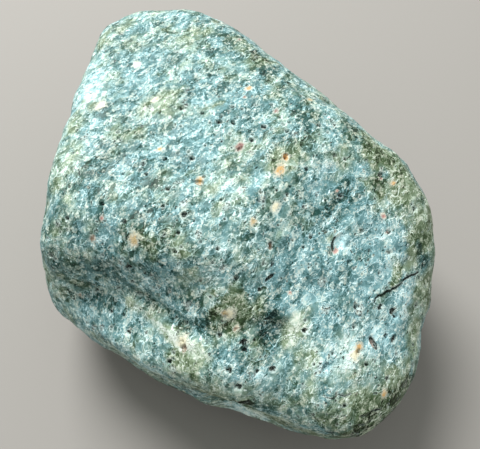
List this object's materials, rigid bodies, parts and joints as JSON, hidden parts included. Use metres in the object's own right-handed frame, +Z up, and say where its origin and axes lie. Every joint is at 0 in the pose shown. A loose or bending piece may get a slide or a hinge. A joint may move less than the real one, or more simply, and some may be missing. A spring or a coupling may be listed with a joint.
{
  "type": "tuff rock",
  "caption": "River-worn cobble of green tuff: a rounded block with a groove, a hollow, a crack and open gas holes, which rests on its broad underside.",
  "frame": {"origin": "on the surface that the cobble rests on, under the middle of its box", "axes": "+X along the long axis to the blunt, cracked end; +Z up; the groove and shelf are on the -Y side"},
  "size_m": [0.1301, 0.0934, 0.057],
  "materials": {
    "green_tuff": "water-worn, fine-grained and pitted, with a faint sheen"
  },
  "bodies": {
    "root": {"stone": "green_tuff"}
  },
  "joints": []
}
